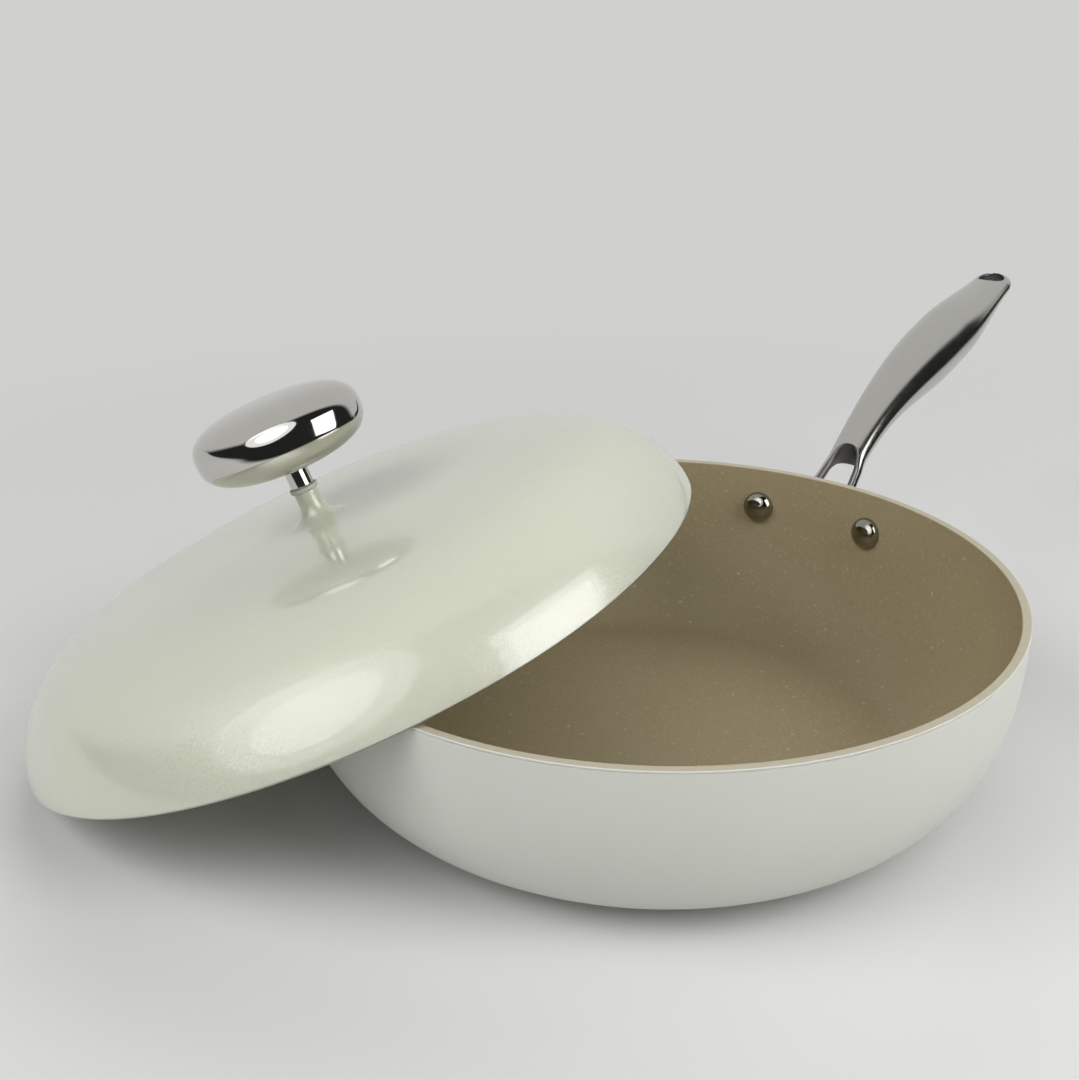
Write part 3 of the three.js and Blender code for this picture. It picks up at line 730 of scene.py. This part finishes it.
def half_section(width, depth, belly, open_to, easing):
    """Half of a superellipse, deeper by a belly below, and cut along its middle or along a slot's side:
    the outer arc from top to bottom, then the inner side back up, with the slot's edges rounded. Gives
    across and up for each row."""
    sizes = np.stack([width, depth, belly, open_to, easing])
    width, depth, belly, open_to, easing = sizes[:, :, None]
    power = 2 / GRIP_POWER
    start = np.arccos(np.clip((open_to + easing) / width, 0, 1) ** (1 / power))
    angle = start * np.linspace(1, -1, OUTER_STEPS)
    outer_across = width * np.clip(np.cos(angle), 0, 1) ** power
    outer_up = depth * np.where(angle > 0, 1, -1 - belly) * np.abs(np.sin(angle)) ** power
    climb = np.sin(QUARTER * np.linspace(-1, 1, INNER_STEPS)[1:-1])
    half_height = outer_up[:, :1]
    corner = easing / np.maximum(half_height, NOTHING)
    into = np.clip((np.abs(climb) - 1 + corner) / np.maximum(corner, NOTHING), 0, 1)
    inner_across = open_to + easing * (1 - np.sqrt(1 - into ** 2))
    across = np.concatenate([outer_across, inner_across], axis=1)
    return across, np.concatenate([outer_up, half_height * climb], axis=1)


def placed(point, distance, across, up, lean=0.0):
    """Sections set square on a curve, or leaned back along it by a share of their height above it."""
    middle, side, rise = frames(point, distance)
    rise = rise + np.reshape(lean, (-1, 1)) * np.cross(side, rise)
    return middle[:, None] + across[..., None] * side[:, None] + up[..., None] * rise[:, None]


def grip_patches():
    """The grip's left half from its tip to the fork and on down its leg, and its mirror image: half
    sections carried along the spine, open round the hanging slot, then melted over a short way into the
    leg's oval sections. Quads inside the grip, on its middle plane, are left out, and those inside the
    hanging slot and on the inner sides of the fork and its legs get the second finish."""
    slot_half_length, slot_half_width = HANG_SLOT_HALF
    slot_middle = grip_length - HANG_SLOT_MARGIN - slot_half_length
    sweep = np.linspace(QUARTER, -QUARTER, 41)
    nose = np.linspace(QUARTER, 0, 7)[:-1]
    rim_run = grip_length - HANG_SLOT_MARGIN * np.linspace(0, 1, 15)[:-1] ** 2
    slot_run = slot_middle + slot_half_length * np.sin(sweep)
    palm_run = np.linspace(slot_middle - slot_half_length, CROTCH, 150)[1:-1]
    crotch_turn = np.linspace(0, QUARTER, 16)
    crotch_run = CROTCH - CROTCH_RADIUS * (1 - np.cos(crotch_turn))
    distance = np.concatenate([0 * nose + grip_length, rim_run, slot_run, palm_run, crotch_run])
    open_to = np.concatenate([
        0 * nose, 0 * rim_run, slot_half_width * np.cos(sweep), 0 * palm_run,
        CROTCH_RADIUS * np.sin(crotch_turn),
    ])
    open_to[np.abs(open_to) < NOTHING] = 0
    width, depth = grip_half(np.clip(distance, 0, grip_length))
    rest = np.ones(len(distance) - len(nose))
    shrink = np.concatenate([np.cos(nose), rest])
    reach = distance + TIP_NOSE * np.concatenate([np.sin(nose), 0 * rest])
    easing = np.minimum(SLOT_EASING, SLOT_EASING_SHARE * open_to)
    place = distance / grip_length
    belly = GRIP_BELLY * smooth_step(place, *BELLY_RISE) * smooth_step(place, *BELLY_FALL)
    across, up = half_section(width * shrink, depth * shrink, belly, open_to, easing)
    lean = CROTCH_LEAN * smooth_step(distance, CROTCH_LEAN_START, CROTCH)
    grip = placed(grip_point, reach, across, up, lean)

    top = grip_point(np.array([LEG_LEAD]))[0] + (0, LEG_TOP, 0)
    wall_radius = wall_at(RIVET_HEIGHT)[0]
    foot = np.array([np.sqrt(wall_radius ** 2 - LEG_FOOT ** 2), LEG_FOOT, RIVET_HEIGHT])
    lead = LEG_LEAD * slope(FORK_ANGLE)
    leg_point, leg_length = along_curve(bezier(foot, foot + lead, top - lead, top))
    stub_run = np.linspace(crotch_run[-1], LEG_LEAD - leg_length, 60)[1:]
    leg_run = np.concatenate([crotch_run, stub_run])
    up_leg = leg_length - LEG_LEAD + leg_run
    turn = QUARTER * np.concatenate([
        np.linspace(1, -1, OUTER_STEPS), 2 + np.linspace(1, -1, INNER_STEPS)[1:-1],
    ])
    flare = 1 + LEG_FLARE_SHARE * np.clip(1 - up_leg / LEG_FLARE_LENGTH, 0, 1)[:, None] ** 2
    ovals = placed(
        leg_point, up_leg, LEG_HALF_WIDTH * flare * np.cos(turn), LEG_HALF_DEPTH * flare * np.sin(turn))

    even = np.ones(len(stub_run))
    across, up = half_section(
        FORK_HALF[0] * even, FORK_HALF[1] * even, 0 * even, CROTCH_RADIUS * even, SLOT_EASING * even)
    stub = placed(grip_point, stub_run, across, up, CROTCH_LEAN)
    fork = np.concatenate([grip[-len(crotch_run):], stub])
    melt = smooth_step(leg_run, CROTCH, CROTCH - FORK_BLEND)[:, None, None]
    tube = np.concatenate([grip[:-len(crotch_run)], mix(fork, ovals, melt)])

    rows = np.arange(len(tube) - 1)[:, None]
    columns = np.arange(tube.shape[1])
    slot_start = len(nose) + len(rim_run)
    in_slot = (rows >= slot_start) & (rows < slot_start + len(slot_run) - 1)
    in_fork = rows >= len(grip) - len(crotch_run)
    inner_side = columns > OUTER_STEPS + 1
    between_edges = inner_side & (columns < len(columns) - 3)
    # Inside the slot and the fork the dark cast steel is painted shade
    dull = (in_slot & between_edges) | (in_fork & inner_side)
    points, quads, marks = patch(tube, dull.astype(int))
    outside = np.any(np.abs(points[quads, 1]) > NOTHING, axis=1)
    mirrored = points * (1, -1, 1)
    return [(half, quads[outside], marks[outside]) for half in (points, mirrored)]


def flange_patch():
    """A bar with round ends laid on the wall. Its rows run from its middle line over the rounded edge to
    its back, and each point of the flat outline is stood off the wall along the wall's normal."""
    half_span = RIVET_SPACING / 2
    cap = np.linspace(-QUARTER, QUARTER, 41)
    side = np.linspace(half_span, -half_span, 62)[1:-1]
    hub = np.concatenate([0 * cap + half_span, side, 0 * cap - half_span, -side])
    turn = np.concatenate([cap, 0 * side + QUARTER, cap + np.pi, 0 * side - QUARTER])
    reach, stand = eased([
        (0, FLANGE_THICKNESS), (FLANGE_HALF_HEIGHT / 2, FLANGE_THICKNESS),
        (FLANGE_HALF_HEIGHT, FLANGE_THICKNESS), (FLANGE_HALF_HEIGHT, SEAM), (0, SEAM),
    ], FLANGE_EASINGS).T[:, :, None]
    height = RIVET_HEIGHT + reach * np.sin(turn)
    y = hub + reach * np.cos(turn)
    radius, outward, upward = wall_at(height)
    x = np.sqrt((radius + stand * outward) ** 2 - y ** 2)
    return patch(np.stack([x, y, height + stand * upward], axis=2))


# Lid, worked out upright with its cut edge at height 0, then leaned on the rim

lid_inner_edge = LID_RADIUS - LID_WALL
contact_angle = np.radians(LID_CONTACT_ANGLE)
contact_along = PAN_RADIUS * np.cos(contact_angle)
contact_reach = np.sqrt(lid_inner_edge ** 2 - (PAN_RADIUS * np.sin(contact_angle)) ** 2)
lid_tilt = np.arcsin((PAN_HEIGHT + LID_REST_GAP - TABLE_GAP) / (LID_RADIUS + contact_reach))
lean_angle = np.radians(LID_LEAN_AZIMUTH)
lid_away = np.array([np.cos(lean_angle), np.sin(lean_angle), 0])
lid_across = np.array([-lid_away[1], lid_away[0], 0])
upright = np.array([0, 0, 1])
lid_place = lid_away * (contact_along + contact_reach * np.cos(lid_tilt))
lid_place = lid_place + upright * (LID_RADIUS * np.sin(lid_tilt) + TABLE_GAP)
lid_down = lid_away * np.cos(lid_tilt) - upright * np.sin(lid_tilt)
lid_axis = upright * np.cos(lid_tilt) + lid_away * np.sin(lid_tilt)


def leaned(points):
    """Points of the upright lid at their leaning place."""
    return lid_place + points @ np.stack([lid_down, lid_across, lid_axis])


def dome_height(radius):
    """The dome's outside: a steep rounded shoulder and a slight crown, by powers of the radius."""
    share = np.clip(radius / LID_RADIUS, 0, 1)
    shoulder = LID_SHOULDER * (1 - share ** LID_SHOULDER_POWER) ** (1 / LID_EDGE_POWER)
    return shoulder + LID_CROWN * (1 - share ** 2)


flare_radius = NECK_TOP_RADIUS + NECK_FLARE_WIDTH
neck_top = dome_height(flare_radius) + NECK_HEIGHT
gasket_low = neck_top + SEAM / 2
gasket_high = gasket_low + GASKET_THICKNESS - SEAM
stem_low = gasket_high + SEAM / 2
knob_low = stem_low + STEM_SHOWN
washer_high = dome_height(WASHER_RADIUS) - LID_WALL - SEAM
washer_low = washer_high - WASHER_THICKNESS
screw_head_high = washer_low - SEAM
screw_top = knob_low + SCREW_REACH


def dome_path():
    """The dome from the foot of the neck to its edge, close stepped round the shoulder."""
    level = np.linspace(flare_radius, LID_SHOULDER_START, 34)
    start = np.arcsin((LID_SHOULDER_START / LID_RADIUS) ** (LID_SHOULDER_POWER / 2))
    shoulder = LID_RADIUS * np.sin(np.linspace(start, QUARTER, 80)[1:]) ** (2 / LID_SHOULDER_POWER)
    radius = np.concatenate([level, shoulder])
    return np.stack([radius, dome_height(radius)], axis=1)


def flare_path(top_radius, foot):
    """A quarter of a hollow superellipse of power 3 from the foot of the neck, level, up to the neck,
    upright."""
    angle = np.linspace(0, QUARTER, 36)
    power = 2 / NECK_FLARE_POWER
    across, down = np.sin(angle) ** power, np.clip(np.cos(angle), 0, 1) ** power
    return np.stack([mix(foot[0], top_radius, across), foot[1] + NECK_FLARE_HEIGHT * (1 - down)], axis=1)


def lid_patch():
    """The pressed lid: neck, dome and shoulder outside, the trimmed edge, and the same faces inside."""
    dome = dome_path()
    outer = dome[dome[:, 1] > LID_EDGE_START][::-1]
    inner = moved_sideways(dome, LID_WALL)
    inner = inner[(inner[:, 1] > LID_EDGE_START) & (inner[:, 0] < lid_inner_edge)]
    edge = eased([outer[0], (LID_RADIUS, 0), (lid_inner_edge, 0), inner[-1]], LID_EDGE_EASING)
    flare = flare_path(NECK_TOP_RADIUS, outer[-1])
    hollow = flare_path(SCREW_HOLE, inner[0])
    mouth = eased([
        flare[-1], (NECK_TOP_RADIUS, neck_top), (SCREW_HOLE, neck_top), hollow[-1],
    ], NECK_EASINGS)
    profile = np.concatenate([mouth, hollow[-2:0:-1], inner, edge[-2:0:-1], outer, flare[1:]])
    first = len(mouth) + len(hollow) - 2 + len(inner)
    bare = np.zeros(len(profile) - 1, int)
    bare[first:first + len(edge) - 3] = 1
    return patch(leaned(turned(profile, LID_SIDES)), bare[:, None])


def ring_patch(radius, low, high, easing, sides=SMALL_SIDES):
    """A flat ring with eased edges round the screw's hole."""
    middle = (low + high) / 2
    profile = eased([
        (SCREW_HOLE, middle), (SCREW_HOLE, high), (radius, high), (radius, low), (SCREW_HOLE, low),
        (SCREW_HOLE, middle),
    ], easing)
    return patch(leaned(turned(profile, sides)))


def knob_patch():
    """A pebble: an ellipse seen from above, and a fuller curve of power 2.7 seen from the side, stepped
    by even angles."""
    climb = np.linspace(-QUARTER, QUARTER, 97)
    cosine, sine = np.clip(np.cos(climb), 0, 1), np.sin(climb)
    reach = (cosine ** KNOB_POWER + np.abs(sine) ** KNOB_POWER) ** (-1 / KNOB_POWER)
    spread, lift = (reach * cosine)[:, None], (reach * sine)[:, None]
    turn = np.linspace(0, 2 * np.pi, 192, endpoint=False)
    x, y = KNOB_HALF[0] * spread * np.cos(turn), KNOB_HALF[1] * spread * np.sin(turn)
    twist = np.radians(KNOB_TURN)
    return patch(leaned(np.stack([
        x * np.cos(twist) - y * np.sin(twist),
        x * np.sin(twist) + y * np.cos(twist),
        knob_low + KNOB_HALF[2] * (1 + lift) + 0 * turn,
    ], axis=2)))


def screw_patches():
    """The knob's screw: a domed head over a polar grid, with a cross sunk into it, and its shank."""
    head_radius, head_height = SCREW_HEAD
    arm_width, arm_length = SCREW_CROSS
    turn = np.linspace(0, 2 * np.pi, SCREW_SIDES, endpoint=False)
    arc = np.linspace(0, QUARTER, 60)[:, None]
    x, y = head_radius * np.sin(arc) * np.cos(turn), head_radius * np.sin(arc) * np.sin(turn)
    arm = np.minimum(
        np.maximum(np.abs(x) / arm_width, np.abs(y) / arm_length),
        np.maximum(np.abs(y) / arm_width, np.abs(x) / arm_length))
    sunk = SCREW_CROSS_DEPTH * (1 - smooth_step(arm, *SCREW_CROSS_SIDE))
    head = np.stack([x, y, screw_head_high - head_height * np.cos(arc) + sunk], axis=2)
    shank = turned(eased([
        (head_radius, screw_head_high), (SCREW_SHANK, screw_head_high), (SCREW_SHANK, screw_top),
        (0, screw_top),
    ], SCREW_EASING), SCREW_SIDES)
    return [patch(leaned(head)), patch(leaned(shank))]


# The pieces

gasket = ring_patch(GASKET_RADIUS, gasket_low, gasket_high, GASKET_EASING)
stem = ring_patch(STEM_RADIUS, stem_low, knob_low + STEM_SEAT, STEEL_EASING)
washer = ring_patch(WASHER_RADIUS, washer_low, washer_high, STEEL_EASING, WASHER_SIDES)

piece("pan_body_shell", [patch(turned(body_profile()))], [white_lacquer],
      "pan", "pan_body")
piece("lining_coat", [lining_patch()], [ceramic, white_lacquer],
      "pan", "ceramic_lining")
piece("base_plate", plate_patches(), [plate_steel, bare_aluminium],
      "pan", "induction_plate")
piece("forked_handle", [*grip_patches(), flange_patch()], [handle_steel, slot_steel_painted_shade],
      "pan", "handle")
piece("left_rivet", [rivet_patch(1)], [rivet_steel_painted_shade], "pan", "rivet_left")
piece("right_rivet", [rivet_patch(-1)], [rivet_steel_painted_shade], "pan", "rivet_right")
piece("lid_dome", [lid_patch()], [pearl_lacquer, bare_aluminium], "lid", "lid_shell")
piece("gasket_ring", [gasket], [silicone], "lid", "neck_gasket")
piece("stem_sleeve", [stem], [knob_steel], "lid", "knob_stem")
piece("pebble_knob", [knob_patch()], [knob_steel], "lid", "knob")
piece("cross_screw", screw_patches(), [plate_steel], "lid", "knob_screw")
piece("wide_washer", [washer], [plate_steel], "lid", "screw_washer")


# Floor, world, lamps and camera, with lengths in metres and angles in degrees

BACKDROP = "#d0d0cf"
DARK_ROOM = "#292a28"
AMBIENT = "#202020"
FLOOR_GREY = "#d6d6d5"
FLOOR_RADII = (0, 0.6, 30)
FLOOR_LEVEL = -0.0002
GLOW_START, GLOW_FULL = 0.34, 0.8
# Ways across the floor, to the front, right and left, and where the pale sheet starts and ends to fade
SHEET_ENDS = (
    ((-0.784, -0.621, 0), 0.22, 0.34),
    ((0.292, -0.956, 0), 0.33, 0.5),
    ((-0.940, -0.342, 0), 0.25, 0.35),
)
# Ways from the object to the dark parts of the room, and the cosines between which they darken
DARK_WAYS = ((-0.408, -0.875, -0.259), (-0.34, -0.158, -0.927))
DARK_START, DARK_FULL = -0.15, 0.05
LAMP_AIM = Vector((0, 0, 0.05))
SOFTBOX_DISTANCE = 2.4
SOFTBOX_SIZE = (1.4, 1.4)
CAMERA_PLACE = (-0.4061, -0.2676, 0.2924)
CAMERA_TILT = 67.535
CAMERA_TURN = -51.6
CAMERA_ROLL = -0.454
CAMERA_LENS = 45.84


def studio_floor():
    """A wide pale disc. Close to the object it is a plain matte floor that takes shadows; further out
    eye and mirror see the backdrop's own colour. In gloss and polish the pale sheet ends just outside
    the picture, in front and on both sides, and the room beyond is dark."""
    made, tree, shader, place = new_finish("pale_floor", {
        "Base Color": linear(FLOOR_GREY), "Roughness": 0.9, "Specular IOR Level": 0.0})
    away = add(tree, "VectorMath", {"operation": "LENGTH"}, {0: place})
    far = add(tree, "MapRange", SMOOTH, {
        "Value": away.outputs["Value"], "From Min": GLOW_START, "From Max": GLOW_FULL})
    ray = add(tree, "LightPath")
    seen = add(tree, "Math", {"operation": "MAXIMUM"}, {
        0: ray.outputs["Is Camera Ray"], 1: ray.outputs["Is Glossy Ray"]})
    share = add(tree, "Math", {"operation": "MULTIPLY"}, {
        0: far.outputs[0], 1: seen.outputs[0]})
    glow = add(tree, "Emission", None, {"Color": linear(BACKDROP), "Strength": 1.0})
    pale = add(tree, "MixShader", None, {
        0: share.outputs[0], 1: shader.outputs[0], 2: glow.outputs[0]})
    past = 0.0
    for way, start, end in SHEET_ENDS:
        along = add(tree, "VectorMath", {"operation": "DOT_PRODUCT"}, {0: place, 1: way})
        beyond = add(tree, "MapRange", SMOOTH, {
            "Value": along.outputs["Value"], "From Min": start, "From Max": end})
        past = add(tree, "Math", {"operation": "MAXIMUM"}, {
            0: past, 1: beyond.outputs[0]}).outputs[0]
    unlit = add(tree, "Math", {"operation": "MULTIPLY"}, {
        0: past, 1: ray.outputs["Is Glossy Ray"]})
    room = add(tree, "Emission", None, {"Color": linear(DARK_ROOM), "Strength": 1.0})
    whole = add(tree, "MixShader", None, {
        0: unlit.outputs[0], 1: pale.outputs[0], 2: room.outputs[0]})
    tree.links.new(whole.outputs[0], tree.nodes["Material Output"].inputs["Surface"])
    rings = [(radius, FLOOR_LEVEL) for radius in FLOOR_RADII]
    points, quads, marks = patch(turned(rings, SMALL_SIDES)[::-1])
    mesh = bpy.data.meshes.new("pale_floor")
    mesh.from_pydata(points.tolist(), [], quads.tolist())
    mesh.materials.append(made)
    disc = bpy.data.objects.new("pale_floor", mesh)
    bpy.context.scene.collection.objects.link(disc)


def studio_world():
    """A room that in gloss and polish is pale overhead and behind the object, and dark behind the camera
    and low on the left; the eye sees the backdrop's colour, and matte faces get an even soft light."""
    world = bpy.data.worlds.new("studio")
    bpy.context.scene.world = world
    world.use_nodes = True
    tree = world.node_tree
    direction = add(tree, "TexCoord").outputs["Generated"]
    behind, left = (
        add(tree, "VectorMath", {"operation": "DOT_PRODUCT"}, {0: direction, 1: way})
        for way in DARK_WAYS)
    nearest = add(tree, "Math", {"operation": "MAXIMUM"}, {
        0: behind.outputs["Value"], 1: left.outputs["Value"]})
    dark = add(tree, "MapRange", SMOOTH, {
        "Value": nearest.outputs[0], "From Min": DARK_START, "From Max": DARK_FULL})
    room = add(tree, "Mix", COLOURS, {
        0: dark.outputs[0], 6: linear(BACKDROP), 7: linear(DARK_ROOM)})
    ray = add(tree, "LightPath")
    mirrored = add(tree, "Mix", COLOURS, {
        0: ray.outputs["Is Glossy Ray"], 6: linear(AMBIENT), 7: room.outputs[2]})
    shown = add(tree, "Mix", COLOURS, {
        0: ray.outputs["Is Camera Ray"], 6: mirrored.outputs[2], 7: linear(BACKDROP)})
    tree.links.new(shown.outputs[2], tree.nodes["Background"].inputs["Color"])


def soft_lamp(name, azimuth, elevation, distance, size, watts, mirrored=False, shape="RECTANGLE"):
    """A soft lamp on a sphere round the object, facing it, that the eye doesn't see. A mirrored lamp
    shows only in gloss and polish; any other lamp gives only matte light."""
    data = bpy.data.lights.new(name, "AREA")
    data.shape = shape
    data.size, data.size_y = size
    data.energy = watts
    lamp = bpy.data.objects.new(name, data)
    around, up = np.radians((azimuth, elevation))
    away = Vector((np.cos(up) * np.cos(around), np.cos(up) * np.sin(around), np.sin(up)))
    lamp.location = away * distance + LAMP_AIM
    lamp.rotation_euler = away.to_track_quat("Z", "Y").to_euler()
    lamp.visible_camera = False
    lamp.visible_glossy = mirrored
    lamp.visible_diffuse = not mirrored
    bpy.context.scene.collection.objects.link(lamp)


def photo_camera():
    """The camera at the photograph's place, tilt and lens."""
    camera = bpy.data.objects.new("camera", bpy.data.cameras.new("camera"))
    camera.data.lens = CAMERA_LENS
    camera.location = CAMERA_PLACE
    tilt = Euler((np.radians(CAMERA_TILT), 0, np.radians(CAMERA_TURN))).to_matrix()
    camera.rotation_euler = (tilt @ Matrix.Rotation(np.radians(CAMERA_ROLL), 3, "Z")).to_euler()
    bpy.context.scene.collection.objects.link(camera)
    bpy.context.scene.camera = camera


studio_floor()
studio_world()

# Each window is brighter in its middle, so that its image on the lid fades outwards
soft_lamp("left_window", -174, 33, 1.6, (1.65, 1.9), 9.0, mirrored=True, shape="ELLIPSE")
soft_lamp("left_window_middle", -174, 33, 1.58, (0.95, 1.2), 3.8, mirrored=True, shape="ELLIPSE")
soft_lamp("right_window", -86, 31, 0.62, (0.49, 0.53), 1.6, mirrored=True)
soft_lamp("right_window_middle", -86, 31, 0.61, (0.37, 0.4), 0.75, mirrored=True)

# The windows' matte light, then softboxes all round
soft_lamp("left_window_light", -166, 34, 1.6, (0.95, 1.45), 6.0)
soft_lamp("right_window_light", -86, 31, 1.2, (0.65, 0.95), 7.2)
for softbox, azimuth, elevation, watts in (
    ("left_softbox", 150, 40, 27.0),
    ("high_left_softbox", -166, 55, 4.5),
    ("right_softbox", -86, 55, 8.0),
    ("far_softbox", 40, 40, 14.0),
    ("far_right_softbox", -20, 40, 9.0),
    ("low_right_softbox", -45, 16, 7.5),
):
    soft_lamp(softbox, azimuth, elevation, SOFTBOX_DISTANCE, SOFTBOX_SIZE, watts)
photo_camera()

bpy.context.scene.view_settings.view_transform = "Standard"
